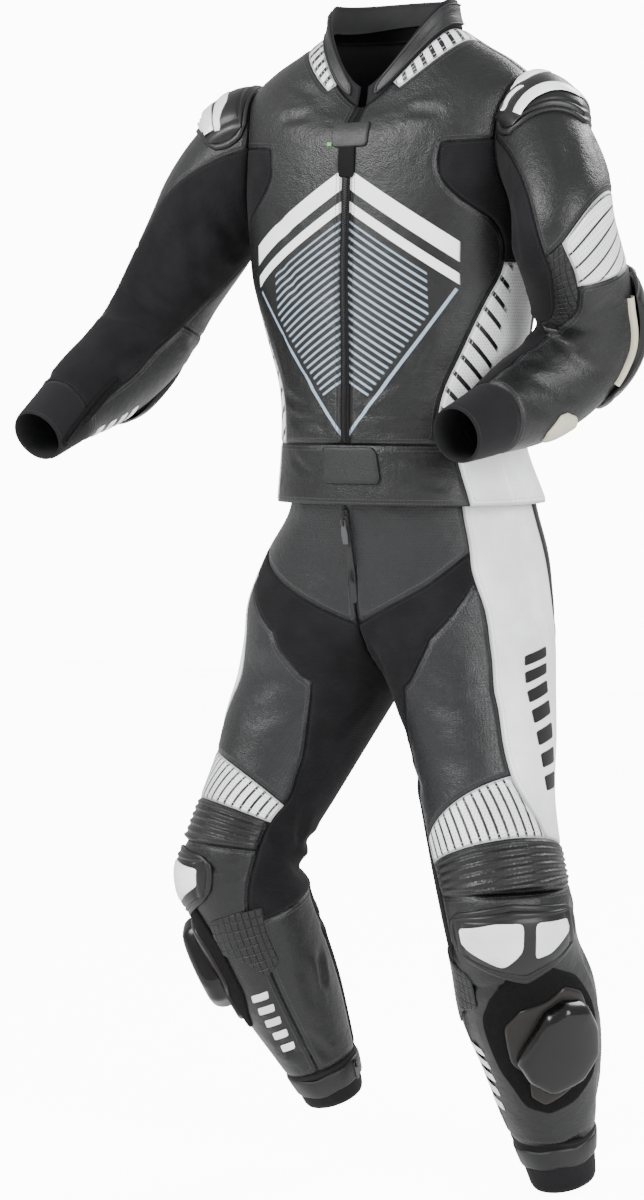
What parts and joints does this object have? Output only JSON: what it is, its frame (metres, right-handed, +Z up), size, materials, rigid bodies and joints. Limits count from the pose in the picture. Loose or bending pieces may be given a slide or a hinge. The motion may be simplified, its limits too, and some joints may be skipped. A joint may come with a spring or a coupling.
{
  "type": "motorcycle race suit",
  "caption": "Leather jacket and trousers of a race suit, hollow in a riding stance, with stretch panels, ribbed knees, protector cups, knee sliders and swinging zip pulls.",
  "frame": {"origin": "inside the neck at the height of the shoulders, where the wearer holds the suit", "axes": "+Z up along the suit, -Y the front, +X the wearer's left"},
  "size_m": [0.7668, 0.4448, 1.5061],
  "materials": {
    "leather": "grained dark grey leather",
    "white_leather": "white leather",
    "stretch_cloth": "ribbed black stretch cloth",
    "hard_protector": "moulded protector",
    "slider_plastic": "glossy slider",
    "neoprene": "black neoprene",
    "zip_tape": "black zip",
    "dark_metal": "black zip pull"
  },
  "bodies": {
    "suit": {"back": "leather", "calf_inner_left": "leather", "calf_inner_right": "leather", "collar": "neoprene", "elbow_grid_left": "leather", "elbow_grid_right": "leather", "elbow_slider_left": "hard_protector", "elbow_slider_right": "hard_protector", "elbow_stripes_left": "white_leather", "elbow_stripes_right": "white_leather", "fly_zip": "zip_tape", "forearm_left": "leather", "forearm_right": "leather", "front_left": "leather", "front_right": "leather", "front_zip": "zip_tape", "hip_front_left": "leather", "hip_front_right": "leather", "knee_cup_left": "hard_protector", "knee_cup_right": "hard_protector", "knee_ribs_left": "leather", "knee_ribs_right": "leather", "knee_slider_left": "slider_plastic", "knee_slider_right": "slider_plastic", "knee_stripes_left": "white_leather", "knee_stripes_right": "white_leather", "leg_cuff_left": "neoprene", "leg_cuff_right": "neoprene", "leg_stretch_left": "stretch_cloth", "leg_stretch_right": "stretch_cloth", "neck_stripes_left": "white_leather", "neck_stripes_right": "white_leather", "seat_left": "leather", "seat_right": "leather", "shin_left": "leather", "shin_right": "leather", "shoulder_cup_left": "hard_protector", "shoulder_cup_right": "hard_protector", "side_left": "white_leather", "side_right": "white_leather", "sleeve_cuff_left": "neoprene", "sleeve_cuff_right": "neoprene", "sleeve_inner_left": "stretch_cloth", "sleeve_inner_right": "stretch_cloth", "sleeve_outer_left": "leather", "sleeve_outer_right": "leather", "thigh_front_left": "leather", "thigh_front_right": "leather", "thigh_side_left": "white_leather", "thigh_side_right": "white_leather", "underarm_left": "stretch_cloth", "underarm_right": "stretch_cloth", "waist_side_left": "white_leather", "waist_side_right": "white_leather", "waistband_back": "leather", "waistband_front": "leather", "waistband_tab": "leather", "zip_flap": "leather"},
    "fly_pull_tab": {"fly_pull": "dark_metal"},
    "ankle_pull_tab": {"ankle_pull_right": "dark_metal"}
  },
  "joints": [
    {"name": "fly_pull_swing", "type": "hinge", "parent": "suit", "child": "fly_pull_tab", "pos_m": [-0.00031, -0.1204, -0.57195], "axis": [-0.999, 0.043, 0.0102], "range_deg": [0, 75]},
    {"name": "ankle_pull_swing", "type": "hinge", "parent": "suit", "child": "ankle_pull_tab", "pos_m": [-0.08399, 0.0452, -1.28676], "axis": [0.0302, -0.9257, -0.377], "range_deg": [0, 150]}
  ]
}
